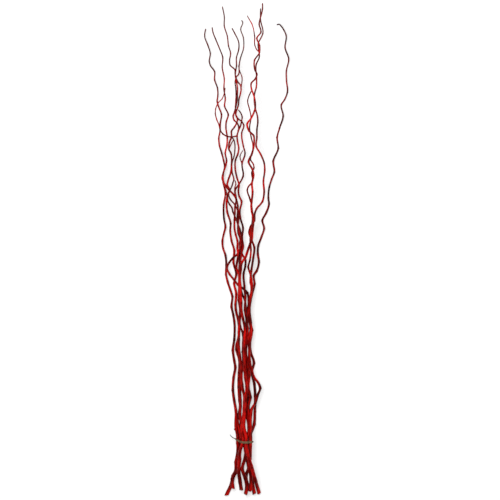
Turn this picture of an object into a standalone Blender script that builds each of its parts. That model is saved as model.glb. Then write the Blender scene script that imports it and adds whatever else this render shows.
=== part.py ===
"""Bundle of dried mulberry twigs, lying on a surface.

Eleven long zigzag twigs with their side shoots are held together near their
cut ends by one tied band. X runs across the bundle, Y from the cut ends to
the tips and Z up from the surface. Routes are in millimetres: across the
bundle, and along it from the cut ends.
"""
import math
import random

import bmesh
import bpy
import numpy as np

MM = 0.001
SEED = 59

# The middle of the bundle's box in the routes' own places
MIDDLE = (2.13, 748.26)

# Clearances between pieces, and the height of a resting pad's middle in radii
GAP = 0.6
FLOOR_GAP = 0.7
PAD_HEIGHT = 0.86

# Where tubes are compared: spacing of the samples, and the stretch at a
# shoot's root that may lie in its own twig
SAMPLE = 2.0
ROOT_FREE = 14.0

# Settling of the heights: rounds, the share of them that also smooths, how
# strongly a bend is straightened and a height drawn back, the push apart,
# and the least number of pushes that it is shared among
ROUNDS = 900
SMOOTH_SHARE = 0.7
STRAIGHTEN = 0.5
DRAW_BACK = 0.02
PUSH = 1.2
LEAST_SHARE = 0.5
TOUCHING = 1e-4

# Taper of the twigs, the flare at their cut ends and the sides of their tubes
TAPER_POWER = 1.15
FLARE = 0.8
FLARE_LENGTH = 70.0
BEVEL_RESOLUTION = 2

# Stations along the bundle at which a twig's height is chosen
STATIONS = (0, 171, 600, 1000, 1450)

# The zigzag in height, small in the dense part and wider towards the tips
DENSE_END = 620.0
WAVE_GROWTH = 200.0
WAVE_DENSE = 1.0
WAVE_FREE = 5.0
WAVE_LEAST = 0.3

# The band that ties the bundle
TIE_ALONG = 168.0
TIE_SLANT = -0.15
TIE_REACH = 8.0
TIE_WIDTH = 6.0
TIE_THICK = 1.6
TIE_CLEAR = 0.45
TIE_LIFT = 2.6
TIE_LIFT_SPAN = 70.0
TIE_POINTS = 40
KNOT_RADIUS = 2.3
KNOT_OUT = 0.9
KNOT_SIDES = 10
KNOT_RINGS = 6
TIE_END = ((-4, 2), (-9, 5), (-13, 8), (-17, 13))
TIE_END_RADIUS = 1.1
TIE_END_DROP = 0.3

# The block under the surface that cuts the resting pads flat
GROUND_SIZE = (600.0, 2000.0, 20.0)

ROUGHNESS = 0.45
SHARP_ANGLE = 40.0

# Twigs 1 to 9 are numbered by their tips, from left to right; 10 and 11 end
# inside the bundle. Layer orders them from low to high where they cross, and
# heights are wished at the stations above.
TWIGS = {
    "twig_1": dict(
        layer=4, butt=5.0, tip=2.0, heights=(10, 6, 10, 3, 14), pads=((1110, 1138),),
        route=[(-40, 22), (-41, 54), (-33, 72), (-30, 106), (-25, 142), (-26, 164), (-26, 182),
               (-31, 212), (-31, 261), (-36, 291), (-40, 325), (-38, 361), (-33, 395), (-36, 413),
               (-40, 446), (-36, 477), (-36, 534), (-39, 553), (-44, 577), (-42, 610), (-48, 629),
               (-56, 653), (-61, 677), (-60, 705), (-63, 735), (-70, 756), (-72, 778), (-68, 799),
               (-63, 820), (-67, 845), (-68, 887), (-63, 924), (-69, 954), (-72, 969), (-65, 1006),
               (-68, 1021), (-74, 1045), (-81, 1069), (-83, 1091), (-79, 1115), (-79, 1133), (-75, 1164),
               (-84, 1188), (-88, 1203), (-86, 1221), (-87, 1243), (-96, 1270), (-96, 1294),
               (-109, 1313), (-112, 1325), (-109, 1349), (-116, 1373), (-126, 1401), (-123, 1425)]),
    "twig_2": dict(
        layer=9, butt=5.2, tip=2.0, heights=(16, 13, 30, 60, 85), pads=(),
        route=[(-14, 18), (-18, 45), (-22, 78), (-20, 115), (-19, 135), (-15, 150), (-8, 173),
               (-12, 193), (-13, 207), (-11, 221), (-9, 238), (-7, 251), (-6, 268), (-5, 287), (-5, 305),
               (-9, 322), (-12, 341), (-14, 363), (-14, 386), (-16, 408), (-19, 430), (-22, 452),
               (-22, 477), (-22, 501), (-21, 526), (-19, 543), (-18, 560), (-19, 579), (-22, 598),
               (-21, 623), (-21, 650), (-22, 677), (-29, 696), (-27, 714), (-24, 732), (-26, 756),
               (-26, 778), (-31, 796), (-35, 817), (-35, 841), (-34, 863), (-33, 884), (-30, 905),
               (-38, 919), (-52, 933), (-64, 948), (-69, 960), (-70, 978), (-61, 1009), (-59, 1021),
               (-63, 1045), (-58, 1069), (-57, 1091), (-61, 1121), (-60, 1139), (-54, 1161), (-65, 1188),
               (-63, 1209), (-67, 1240), (-66, 1270), (-72, 1304), (-71, 1337), (-79, 1358), (-93, 1392),
               (-100, 1410), (-103, 1427)]),
    "twig_3": dict(
        layer=6, butt=5.0, tip=1.9, heights=(12, 5, 10, 28, 45), pads=(),
        route=[(-2, 5), (2, 24), (-3, 57), (-12, 85), (-8, 101), (-1, 118), (-2, 142), (-3.5, 168),
               (6, 188), (8, 212), (4, 240), (2, 270), (4, 300), (3, 331), (1, 364), (3, 398), (0, 434),
               (2, 477), (5, 513), (0, 547), (-3, 568), (-2, 607), (-5, 641), (-7, 680), (-2, 702),
               (-2, 720), (-13, 741), (-9, 759), (-12, 787), (-9, 817), (-17, 848), (-19, 869),
               (-14, 899), (-21, 914), (-23, 933), (-21, 948), (-27, 969), (-33, 1000), (-32, 1024),
               (-25, 1042), (-22, 1060), (-26, 1082), (-27, 1097), (-22, 1124), (-27, 1136), (-36, 1145),
               (-39, 1158), (-36, 1167), (-27, 1206), (-26, 1228), (-26, 1243), (-29, 1261), (-32, 1276),
               (-33, 1288), (-33, 1296), (-49, 1314), (-50, 1325), (-47, 1349), (-53, 1370), (-57, 1401),
               (-66, 1431), (-66, 1459), (-72, 1491)]),
    "twig_4": dict(
        layer=3, butt=5.4, tip=2.0, heights=(5, 6, 20, 48, 70), pads=((-1, 43),),
        route=[(-61, 0), (-43, 42), (-38, 63), (-30, 81), (-28, 106), (-19, 145), (-17, 173), (-18, 188),
               (-21, 202), (-24, 216), (-26, 229), (-24, 243), (-20, 257), (-18, 274), (-20, 293),
               (-21, 310), (-22, 333), (-22, 355), (-21, 377), (-20, 399), (-21, 419), (-25, 433),
               (-29, 448), (-29, 460), (-25, 474), (-22, 488), (-21, 507), (-22, 524), (-24, 539),
               (-28, 553), (-31, 568), (-32, 585), (-31, 598), (-30, 617), (-36, 650), (-30, 674),
               (-38, 714), (-36, 750), (-44, 778), (-48, 808), (-47, 832), (-57, 866), (-56, 917),
               (-50, 933), (-57, 948), (-55, 960), (-46, 987), (-44, 1009), (-46, 1045), (-52, 1057),
               (-50, 1079), (-44, 1094), (-44, 1112), (-36, 1123), (-29, 1135), (-26, 1147), (-31, 1162),
               (-29, 1173), (-24, 1188), (-21, 1211), (-17, 1225), (-15, 1241), (-17, 1252), (-23, 1259),
               (-28, 1268), (-32, 1280), (-32, 1291), (-29, 1310), (-29, 1334), (-22, 1361), (-22, 1380),
               (-35, 1410), (-43, 1425)]),
    "twig_5": dict(
        layer=5, butt=4.8, tip=1.8, heights=(14, 5, 14, 38, 55), pads=(),
        route=[(-19, 48), (-22, 78), (-19, 115), (-20, 132), (-16, 150), (-12.5, 173), (-12, 188),
               (-13, 204), (-15, 221), (-17, 238), (-18, 254), (-17, 274), (-17, 293), (-18, 308),
               (-17, 336), (-15, 363), (-8, 410), (-4, 446), (-1, 483), (1, 522), (4, 559), (8, 595),
               (3, 621), (-9, 633), (-24, 644), (-36, 659), (-50, 677), (-58, 696), (-55, 705),
               (-40, 726), (-27, 737), (-18, 756), (-17, 787), (-23, 814), (-26, 851), (-25, 884),
               (-31, 914), (-33, 933), (-23, 948), (-9, 975), (-12, 1012), (-3, 1045), (-8, 1066),
               (-13, 1106), (-7, 1130), (-14, 1142), (-24, 1149), (-32, 1167), (-32, 1185), (-31, 1206),
               (-30, 1225), (-31, 1243), (-33, 1261), (-30, 1275), (-22, 1285), (-21, 1310), (-18, 1328),
               (-7, 1367), (-8, 1395), (-16, 1422), (-10, 1442), (-14, 1449)]),
    "twig_6": dict(
        layer=8, butt=5.0, tip=1.9, heights=(20, 14, 38, 75, 100), pads=(),
        route=[(15, 16), (14.5, 55), (11, 94), (13, 124), (14, 154), (14.5, 179), (14, 212), (15, 249),
               (18, 267), (28, 284), (36, 309), (43, 331), (39, 343), (24, 364), (18, 382), (12, 410),
               (11, 452), (16, 495), (15, 531), (11, 568), (15, 604), (19, 641), (14, 674), (7, 699),
               (12, 720), (15, 750), (13, 781), (17, 817), (20, 851), (16, 890), (11, 908), (4, 933),
               (7, 942), (19, 957), (18, 987), (24, 999), (22, 1011), (14, 1024), (20, 1048), (21, 1069),
               (16, 1091), (11, 1121), (15, 1155), (11, 1176), (5, 1203), (8, 1215), (17, 1234)]),
    "twig_7": dict(
        layer=10, butt=5.5, tip=2.2, heights=(5, 15, 44, 85, 120), pads=((8, 10),),
        route=[(40, 9), (29, 48), (17, 91), (5, 133), (1, 167), (1, 180), (-2, 193), (-6, 210),
               (-6, 227), (-4, 246), (-2, 267), (0, 303), (2, 334), (-2, 364), (-4, 398), (-5, 434),
               (-5, 477), (-4, 513), (-9, 541), (-14, 565), (-15, 592), (-17, 638), (-19, 665),
               (-16, 690), (-14, 708), (-9, 718), (-2, 727), (3, 741), (8, 756), (13, 770), (18, 784),
               (20, 808), (22, 829), (22, 848), (18, 866), (16, 884), (17, 896), (20, 927), (18, 951),
               (23, 978), (20, 993), (8, 1018), (18, 1042), (25, 1082), (23, 1097), (9, 1112), (4, 1133),
               (15, 1149), (25, 1170), (28, 1182), (23, 1221), (17, 1237), (16, 1255), (28, 1269),
               (33, 1282), (27, 1297), (26, 1325), (41, 1349), (41, 1370), (33, 1392), (45, 1410),
               (40, 1434), (47, 1465), (50, 1480), (50, 1498)]),
    "twig_8": dict(
        layer=7, butt=5.2, tip=2.0, heights=(14, 13, 34, 62, 90), pads=(),
        route=[(26, 5), (18, 50), (11, 88), (5, 124), (5.5, 154), (5.5, 179), (13, 212), (10, 246),
               (7, 270), (13, 303), (7, 334), (10, 370), (7, 404), (10, 440), (8, 477), (14, 513),
               (7, 550), (10, 580), (12, 601), (17, 635), (14, 653), (16, 686), (22, 726), (25, 759),
               (17, 781), (10, 805), (15, 823), (25, 838), (27, 863), (32, 875), (50, 898), (55, 924),
               (53, 960), (57, 993), (55, 1015), (44, 1042), (31, 1066), (33, 1091), (33, 1115),
               (36, 1139), (35, 1155), (28, 1182), (26, 1225), (31, 1243), (32, 1273), (31, 1313),
               (40, 1334), (38, 1380), (43, 1389), (51, 1407), (44, 1449), (44, 1484)]),
    "twig_9": dict(
        layer=0, butt=5.1, tip=2.1, heights=(8, 5, 8, 3, 12), pads=((1090, 1125),),
        route=[(11, 13), (1, 66), (9, 88), (12, 115), (11, 151), (10, 175), (25, 221), (27, 258),
               (28, 306), (25, 343), (18, 379), (24, 407), (14, 440), (12, 461), (18, 507), (8, 547),
               (11, 577), (14, 595), (18, 613), (26, 647), (24, 674), (32, 686), (39, 714), (36, 738),
               (37, 762), (47, 790), (55, 817), (50, 841), (61, 863), (70, 890), (68, 908), (71, 942),
               (78, 966), (86, 987), (83, 1021), (98, 1060), (95, 1094), (102, 1121), (113, 1158),
               (108, 1194), (117, 1208), (126, 1231), (123, 1267), (123, 1297), (130, 1331), (119, 1367),
               (122, 1404), (116, 1419), (108, 1431), (101, 1438), (93, 1436)]),
    "twig_10": dict(
        layer=1, butt=4.5, tip=2.3, heights=(10, 7, 16, 40, 60), pads=(),
        route=[(1, 36), (-2, 57), (-11, 85), (-7, 103), (-2, 127), (1, 154), (1, 176), (-5, 203),
               (-6, 225), (-3, 245), (-1, 270), (0, 303), (1, 334), (-1, 364), (-9, 399), (-9, 421),
               (-10, 441), (-9, 466), (-9, 490), (-12, 503), (-17, 517), (-19, 532), (-19, 548),
               (-18, 571), (-18, 598), (-19, 629), (-19, 659), (-21, 686), (-20, 714), (-19, 744),
               (-19, 772), (-15, 799), (-20, 817), (-26, 832), (-32, 848), (-40, 866), (-43, 879),
               (-50, 889), (-55, 899), (-57, 914), (-62, 933), (-67, 951), (-72, 969), (-69, 987),
               (-64, 1006)]),
    "twig_11": dict(
        layer=2, butt=4.5, tip=2.0, heights=(10, 7, 18, 44, 60), pads=(),
        route=[(9, 81), (4, 109), (-1, 139), (-8, 164), (-8, 182), (-7, 203), (-5, 233), (-3, 264),
               (1, 294), (5, 328), (2, 364), (-3, 395), (-2, 428), (-4, 465), (-3, 501), (1, 537),
               (0, 568), (-3, 595), (-10, 612), (-16, 632), (-19, 656), (-19, 686), (-17, 714),
               (-14, 738), (-14, 762), (-18, 784), (-24, 802), (-25, 817), (-23, 835), (-22, 854),
               (-26, 872), (-32, 884), (-37, 892), (-46, 902), (-51, 911), (-53, 921), (-49, 931),
               (-44, 942), (-40, 954), (-37, 966), (-41, 981), (-43, 997), (-42, 1018), (-37, 1033),
               (-34, 1051), (-34, 1073), (-37, 1085), (-42, 1093)]),
}

# Side shoots: the twig they grow on, how far along it, and how they climb
SHOOTS = [
    dict(twig="twig_3", root=1097, layer=9.5, climb=0.25, radii=(2.4, 1.5),
         route=[(-44, 1094), (-58, 1096), (-70, 1103), (-78, 1114), (-82, 1130), (-89, 1147),
                (-93, 1164), (-92, 1179), (-85, 1196), (-73, 1209), (-66, 1225), (-63, 1243)]),
    dict(twig="twig_3", root=1112, layer=6.5, climb=0.2, radii=(2.4, 2),
         route=[(-18, 1124), (-14, 1139), (-12, 1155), (-16, 1167), (-24, 1177)]),
    dict(twig="twig_7", root=1349, layer=10.6, climb=0.2, radii=(2, 1.5),
         route=[(32, 1358), (27, 1370), (26, 1398), (17, 1436), (10, 1448), (3, 1460)]),
    dict(twig="twig_4", root=1240, layer=3.5, climb=0.3, radii=(1.9, 1.5),
         route=[(-13, 1279), (-19, 1294), (-23, 1312)]),
    dict(twig="twig_2", root=909, layer=9.6, climb=0.2, radii=(2.2, 1.8),
         route=[(-34, 927), (-34, 939), (-31, 951), (-34, 963)]),
    dict(twig="twig_4", root=1057, layer=3.6, climb=0.3, radii=(2, 1.5),
         route=[(-45, 1073), (-37, 1087)]),
    dict(twig="twig_5", root=1012, layer=5.5, climb=0.3, radii=(1.9, 1.5),
         route=[(-18, 1036), (-9, 1054)]),
    dict(twig="twig_1", root=196, layer=4.5, climb=0.3, radii=(2.2, 2),
         route=[(-37, 207)]),
]

BARK_COLOURS = {
    "twig_1": (0.20, 0.010, 0.012),
    "twig_2": (0.26, 0.012, 0.014),
    "twig_3": (0.17, 0.008, 0.010),
    "twig_4": (0.23, 0.012, 0.012),
    "twig_5": (0.15, 0.008, 0.010),
    "twig_6": (0.19, 0.010, 0.010),
    "twig_7": (0.28, 0.014, 0.016),
    "twig_8": (0.22, 0.010, 0.012),
    "twig_9": (0.13, 0.008, 0.010),
    "twig_10": (0.16, 0.008, 0.010),
    "twig_11": (0.21, 0.010, 0.012),
}
TIE_COLOUR = (0.30, 0.22, 0.12)


def path_length(points):
    """Distance along a route up to each of its points."""
    steps = np.hypot(*np.diff(points, axis=0).T)
    return np.concatenate([[0.0], np.cumsum(steps)])


class Strand:
    """One tube's route seen from above, its radii and its wished heights."""

    def __init__(self, twig, layer, route, radii, wish):
        self.twig, self.layer = twig, layer
        self.route = np.array(route, float)
        self.length = path_length(self.route)
        self.radii, self.wish = radii, wish
        self.pinned = np.zeros(len(route), bool)
        self.parent = None
        self.height = wish.copy()

    def refine(self, first):
        """Close samples on the tube: places, radii, ring numbers and weights."""
        count = int(self.length[-1] / SAMPLE) + 1
        along = np.linspace(0.0, self.length[-1], count)
        ring = np.clip(np.searchsorted(self.length, along, "right") - 1, 0, len(self.length) - 2)
        part = (along - self.length[ring]) / (self.length[ring + 1] - self.length[ring])
        place = self.route[ring] + part[:, None] * (self.route[ring + 1] - self.route[ring])
        radius = self.radii[ring] + part * (self.radii[ring + 1] - self.radii[ring])
        return place, radius, first + ring, part, along


def make_twig(name, spec, rng):
    """A main stem with its taper and flare, its zigzag in height and its pads."""
    route = np.array(spec["route"], float)
    length = path_length(route)
    left = 1.0 - length / length[-1]
    radii = spec["tip"] + (spec["butt"] - spec["tip"]) * left ** TAPER_POWER
    radii += FLARE * np.exp(-length / FLARE_LENGTH)
    free = np.clip((route[:, 1] - DENSE_END) / WAVE_GROWTH, 0.0, 1.0)
    wave = WAVE_DENSE + (WAVE_FREE - WAVE_DENSE) * free
    wish = np.interp(route[:, 1], STATIONS, spec["heights"])
    for i in range(len(route)):
        wish[i] += wave[i] * rng.uniform(WAVE_LEAST, 1.0) * (-1) ** i
    strand = Strand(name, spec["layer"], route, radii, wish)
    for low, high in spec["pads"]:
        on_pad = (route[:, 1] >= low) & (route[:, 1] <= high)
        strand.pinned |= on_pad
        strand.wish[on_pad] = PAD_HEIGHT * radii[on_pad]
    strand.height = strand.wish.copy()
    return strand


def make_shoot(spec, parent):
    """A side shoot whose first point lies in the middle of its twig."""
    across = np.interp(spec["root"], parent.route[:, 1], parent.route[:, 0])
    route = [(across, spec["root"])] + spec["route"]
    length = path_length(np.array(route, float))
    radii = np.interp(length, (0.0, length[-1]), spec["radii"])
    start = np.interp(spec["root"], parent.route[:, 1], parent.wish)
    strand = Strand(spec["twig"], spec["layer"], route, radii, start + spec["climb"] * length)
    strand.parent = (parent, spec["root"])
    return strand


def find_contacts(strands, firsts):
    """Pairs of samples that lie over each other, with the height they need."""
    fine = [strand.refine(first) for strand, first in zip(strands, firsts)]
    found = []
    for low in range(len(strands)):
        for high in range(len(strands)):
            if strands[low].layer >= strands[high].layer:
                continue
            a, b = fine[low], fine[high]
            apart = np.hypot(a[0][:, None, 0] - b[0][None, :, 0], a[0][:, None, 1] - b[0][None, :, 1])
            reach = a[1][:, None] + b[1][None, :] + GAP
            near = apart < reach
            if strands[low].twig == strands[high].twig:
                near &= (b[4] > ROOT_FREE)[None, :]
                if strands[low].parent:
                    near &= (a[4] > ROOT_FREE)[:, None]
            i, j = np.nonzero(near)
            need = np.sqrt(reach[i, j] ** 2 - apart[i, j] ** 2)
            found.append(np.column_stack([a[2][i], a[3][i], b[2][j], b[3][j], need]))
    return np.vstack(found)


def settle_heights(strands):
    """Lift and lower the rings until every tube clears those it crosses."""
    firsts = np.cumsum([0] + [len(s.route) for s in strands])
    pairs = find_contacts(strands, firsts)
    low, high = pairs[:, 0].astype(int), pairs[:, 2].astype(int)
    low_part, high_part, need = pairs[:, 1], pairs[:, 3], pairs[:, 4]
    weight = (1 - low_part) ** 2 + low_part ** 2 + (1 - high_part) ** 2 + high_part ** 2
    height = np.concatenate([s.wish for s in strands])
    wish = height.copy()
    pinned = np.concatenate([s.pinned for s in strands])
    along = np.concatenate([s.route[:, 1] for s in strands])
    lift = TIE_LIFT * np.exp(-((along - TIE_ALONG) / TIE_LIFT_SPAN) ** 4)
    floor = np.concatenate([s.radii for s in strands]) + np.maximum(FLOOR_GAP, lift)
    floor[pinned] = 0.0
    total = len(height)
    for step in range(ROUNDS):
        spread = max(0.0, 1.0 - step / (SMOOTH_SHARE * ROUNDS))
        offset = height - wish
        for k, strand in enumerate(strands):
            part = offset[firsts[k]:firsts[k + 1]]
            bend = np.zeros_like(part)
            bend[1:-1] = 0.5 * (part[:-2] + part[2:]) - part[1:-1]
            bend[0], bend[-1] = part[1] - part[0], part[-2] - part[-1]
            part += spread * (STRAIGHTEN * bend - DRAW_BACK * part)
        height = wish + offset
        lower = height[low] * (1 - low_part) + height[low + 1] * low_part
        upper = height[high] * (1 - high_part) + height[high + 1] * high_part
        miss = np.maximum(0.0, need - (upper - lower))
        hit = miss > TOUCHING
        push = miss[hit] / weight[hit]
        move = np.zeros(total)
        count = np.zeros(total)
        for ring, part, sign in ((low, 1 - low_part, -1), (low + 1, low_part, -1),
                                 (high, 1 - high_part, 1), (high + 1, high_part, 1)):
            move += np.bincount(ring[hit], sign * push * part[hit], total)
            count += np.bincount(ring[hit], part[hit], total)
        height += PUSH * move / np.maximum(count, LEAST_SHARE)
        height = np.maximum(height, floor)
        height[pinned] = wish[pinned]
        for k, strand in enumerate(strands):
            if strand.parent:
                parent, root = strand.parent
                number = strands.index(parent)
                own = height[firsts[number]:firsts[number + 1]]
                height[firsts[k]] = np.interp(root, parent.route[:, 1], own)
    for k, strand in enumerate(strands):
        strand.height = height[firsts[k]:firsts[k + 1]]


def make_material(name, colour, roughness):
    material = bpy.data.materials.new(name)
    material.use_nodes = True
    shader = material.node_tree.nodes["Principled BSDF"]
    shader.inputs["Base Color"].default_value = (*colour, 1.0)
    shader.inputs["Roughness"].default_value = roughness
    shader.inputs["Metallic"].default_value = 0.0
    return material


def mesh_from_curve(curve_object, collection):
    """The curve's evaluated mesh as a new object, with its caps welded."""
    depsgraph = bpy.context.evaluated_depsgraph_get()
    mesh = bpy.data.meshes.new_from_object(curve_object.evaluated_get(depsgraph))
    work = bmesh.new()
    work.from_mesh(mesh)
    bmesh.ops.remove_doubles(work, verts=work.verts, dist=1e-6)
    work.to_mesh(mesh)
    work.free()
    solid = bpy.data.objects.new(curve_object.name + "_solid", mesh)
    solid.matrix_world = curve_object.matrix_world.copy()
    collection.objects.link(solid)
    bpy.data.objects.remove(curve_object)
    return solid


def make_tube(name, points, radii, collection):
    """A round tube through points in millimetres, as one closed mesh."""
    curve = bpy.data.curves.new(name, "CURVE")
    curve.dimensions = "3D"
    curve.bevel_depth = MM
    curve.bevel_resolution = BEVEL_RESOLUTION
    curve.use_fill_caps = True
    curve.render_resolution_u = curve.resolution_u
    spline = curve.splines.new("POLY")
    spline.points.add(len(points) - 1)
    for knot, point, radius in zip(spline.points, points, radii):
        knot.co = (point[0] * MM, point[1] * MM, point[2] * MM, 1.0)
        knot.radius = radius
    curve_object = bpy.data.objects.new(name, curve)
    collection.objects.link(curve_object)
    return mesh_from_curve(curve_object, collection)


def strand_tube(name, strand, collection):
    points = np.column_stack([strand.route, strand.height])
    return make_tube(name, points, strand.radii, collection)


def apply_boolean(solid, operation, operands):
    """Join or cut a solid with others and remove them."""
    for operand in operands:
        modifier = solid.modifiers.new(operation.lower(), "BOOLEAN")
        modifier.operation = operation
        modifier.solver = "EXACT"
        modifier.object = operand
        depsgraph = bpy.context.evaluated_depsgraph_get()
        mesh = bpy.data.meshes.new_from_object(solid.evaluated_get(depsgraph))
        solid.modifiers.clear()
        solid.data = mesh


def stem_circles(strands):
    """Centres and radii of the main stems in the stretch that the band spans."""
    circles = []
    for strand in strands:
        if strand.parent:
            continue
        for along in (TIE_ALONG - TIE_REACH, TIE_ALONG, TIE_ALONG + TIE_REACH):
            across = np.interp(along, strand.route[:, 1], strand.route[:, 0])
            height = np.interp(along, strand.route[:, 1], strand.height)
            radius = np.interp(along, strand.route[:, 1], strand.radii)
            circles.append((across, height, radius))
    return circles


def tie_outline(circles):
    """The band's inner line round the stems, as places across and in height."""
    outline = []
    for step in range(TIE_POINTS):
        angle = 2.0 * math.pi * step / TIE_POINTS
        side, up = math.cos(angle), math.sin(angle)
        across, height, radius = max(circles, key=lambda c: c[0] * side + c[1] * up + c[2])
        out = radius + TIE_CLEAR
        outline.append((across + out * side, height + out * up))
    return outline


def make_band(outline, collection):
    """The flat band: its outline drawn out to its width and thickened."""
    work = bmesh.new()
    ring = bmesh.ops.create_circle(work, segments=TIE_POINTS, radius=1.0)["verts"]
    for vert, (across, height) in zip(ring, outline):
        along = TIE_ALONG + TIE_SLANT * across - TIE_WIDTH / 2
        vert.co = (across * MM, along * MM, height * MM)
    wall = bmesh.ops.extrude_edge_only(work, edges=list(work.edges))["geom"]
    far = [part for part in wall if isinstance(part, bmesh.types.BMVert)]
    bmesh.ops.translate(work, verts=far, vec=(0.0, TIE_WIDTH * MM, 0.0))
    bmesh.ops.recalc_face_normals(work, faces=work.faces)
    mesh = bpy.data.meshes.new("tie")
    work.to_mesh(mesh)
    work.free()
    band = bpy.data.objects.new("tie", mesh)
    collection.objects.link(band)
    solidify = band.modifiers.new("thickness", "SOLIDIFY")
    solidify.thickness = TIE_THICK * MM
    solidify.offset = 1.0
    solidify.use_even_offset = True
    depsgraph = bpy.context.evaluated_depsgraph_get()
    thick = bpy.data.meshes.new_from_object(band.evaluated_get(depsgraph))
    band.modifiers.clear()
    band.data = thick
    return band


def make_tie(strands, collection):
    """The band round the stems, with its knot and its free end."""
    outline = tie_outline(stem_circles(strands))
    tie = make_band(outline, collection)
    right, left = max(outline), min(outline)
    knot_place = (right[0] + TIE_THICK + KNOT_OUT, TIE_ALONG + TIE_SLANT * right[0], right[1])
    bpy.ops.mesh.primitive_uv_sphere_add(
        segments=KNOT_SIDES, ring_count=KNOT_RINGS, radius=KNOT_RADIUS * MM,
        location=[place * MM for place in knot_place])
    knot = bpy.context.object
    start = np.array((left[0] - 0.5 * TIE_THICK, TIE_ALONG + TIE_SLANT * left[0], left[1]))
    route = [start]
    for across, along in TIE_END:
        route.append(start + (across, along, TIE_END_DROP * across))
    end = make_tube("tie_end", route, [TIE_END_RADIUS] * len(route), collection)
    apply_boolean(tie, "UNION", [knot, end])
    bpy.data.objects.remove(knot)
    bpy.data.objects.remove(end)
    return tie


def make_ground_cutter(collection):
    """The space under the surface, which flattens the pads that rest on it."""
    bpy.ops.mesh.primitive_cube_add(size=1.0)
    cutter = bpy.context.object
    cutter.name = "ground_cutter"
    width, length, depth = [size * MM for size in GROUND_SIZE]
    for vert in cutter.data.vertices:
        vert.co = (vert.co.x * width, vert.co.y * length, vert.co.z * depth)
    cutter.location = (0.0, MIDDLE[1] * MM, -depth / 2)
    for owner in list(cutter.users_collection):
        owner.objects.unlink(cutter)
    collection.objects.link(cutter)
    cutter.hide_render = True
    cutter.display_type = "WIRE"
    return cutter


def centre_on_origin(solids):
    """Shift the bundle so that its box stands on the middle of the origin."""
    for solid in solids:
        for vert in solid.data.vertices:
            vert.co.x -= MIDDLE[0] * MM
            vert.co.y -= MIDDLE[1] * MM


def main():
    for old in list(bpy.data.objects):
        bpy.data.objects.remove(old)
    bundle = bpy.data.collections.new("mulberry_twig_bundle")
    cutters = bpy.data.collections.new("cutters")
    bpy.context.scene.collection.children.link(bundle)
    bpy.context.scene.collection.children.link(cutters)
    rng = random.Random(SEED)
    stems = {name: make_twig(name, spec, rng) for name, spec in TWIGS.items()}
    shoots = [make_shoot(spec, stems[spec["twig"]]) for spec in SHOOTS]
    strands = list(stems.values()) + shoots
    settle_heights(strands)
    ground = make_ground_cutter(cutters)
    solids = []
    for name, stem in stems.items():
        solid = strand_tube(name, stem, bundle)
        parts = [strand_tube("shoot", s, cutters) for s in shoots if s.twig == name]
        apply_boolean(solid, "UNION", parts)
        if TWIGS[name]["pads"]:
            apply_boolean(solid, "DIFFERENCE", [ground])
        for part in parts:
            bpy.data.objects.remove(part)
        solid.name = name
        solids.append(solid)
    solids.append(make_tie(strands, bundle))
    centre_on_origin(solids)
    for solid in solids:
        solid.data.materials.clear()
        colour = BARK_COLOURS.get(solid.name, TIE_COLOUR)
        solid.data.materials.append(make_material(solid.name, colour, ROUGHNESS))
        solid.data.shade_smooth()
        solid.data.set_sharp_from_angle(angle=math.radians(SHARP_ANGLE))


main()
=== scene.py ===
import math
import random

import bpy
import numpy as np
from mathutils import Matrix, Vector
from mathutils.bvhtree import BVHTree


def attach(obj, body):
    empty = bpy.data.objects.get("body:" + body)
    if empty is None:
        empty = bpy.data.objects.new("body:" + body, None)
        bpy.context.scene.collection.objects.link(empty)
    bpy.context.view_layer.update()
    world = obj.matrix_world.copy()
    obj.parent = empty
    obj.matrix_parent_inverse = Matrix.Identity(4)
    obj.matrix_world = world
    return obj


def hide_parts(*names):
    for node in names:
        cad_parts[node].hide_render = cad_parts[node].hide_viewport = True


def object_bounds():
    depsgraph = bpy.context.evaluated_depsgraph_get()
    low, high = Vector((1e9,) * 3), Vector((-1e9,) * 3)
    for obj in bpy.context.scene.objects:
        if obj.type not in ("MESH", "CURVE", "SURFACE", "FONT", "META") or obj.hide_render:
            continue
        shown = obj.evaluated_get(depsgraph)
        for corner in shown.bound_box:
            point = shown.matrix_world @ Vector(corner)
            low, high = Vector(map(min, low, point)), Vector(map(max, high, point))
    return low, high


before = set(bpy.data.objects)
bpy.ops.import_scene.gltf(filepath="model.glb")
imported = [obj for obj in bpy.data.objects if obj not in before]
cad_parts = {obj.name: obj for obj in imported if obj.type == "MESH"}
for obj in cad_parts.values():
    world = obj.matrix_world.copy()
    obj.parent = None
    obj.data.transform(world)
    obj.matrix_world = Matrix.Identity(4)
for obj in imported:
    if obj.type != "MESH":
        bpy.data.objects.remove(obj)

# The CAD model's own box, before anything is added to it
cad_low, cad_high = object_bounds()

# Routes are in millimetres, and this place in them is the model's origin
MM = 0.001
MIDDLE = (2.13, 748.26)

# Fine tubes: spacing of their rings, number of their sides, and their radius
# as a share of the CAD tube's
RING_STEP = 1.4
SIDES = 24
SHOOT_SIDES = 14
SLACK = 0.97
TWIG_SEED = 100
SHARP_DEGREES = 50

# A twig's taper along its length, and the flare at its cut end
TAPER_POWER = 1.15
FLARE = 0.8
FLARE_LENGTH = 70.0

# A shoot's flare where it leaves its twig: its height as a share of the
# radius, and its length
SHOOT_FLARE = 0.55
SHOOT_FLARE_LENGTH = 2.5

# The rounded tip: its length in tip radii, and the least share it leaves
TIP_LENGTH = 2.2
TIP_LEAST = 0.03

# The slanted cut: least and greatest slant, and the radii that it fades over;
# the rings of its face, and the depth and step of the grain there
CUT_SLANT = (0.25, 0.6)
CUT_FADE = 3.0
CUT_RINGS = 4
CUT_GRAIN = 0.12
CUT_GRAIN_STEP = 2.4

# Unevenness of a twig: number of waves, how often they go round it, how fast
# they run along it, and their height as a share of the radius
UNEVEN = (
    (6, (0, 0), (0.04, 0.16), 0.035),
    (4, (2, 3), (0.01, 0.06), 0.03),
    (14, (4, 9), (0.02, 0.25), 0.022),
)

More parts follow.
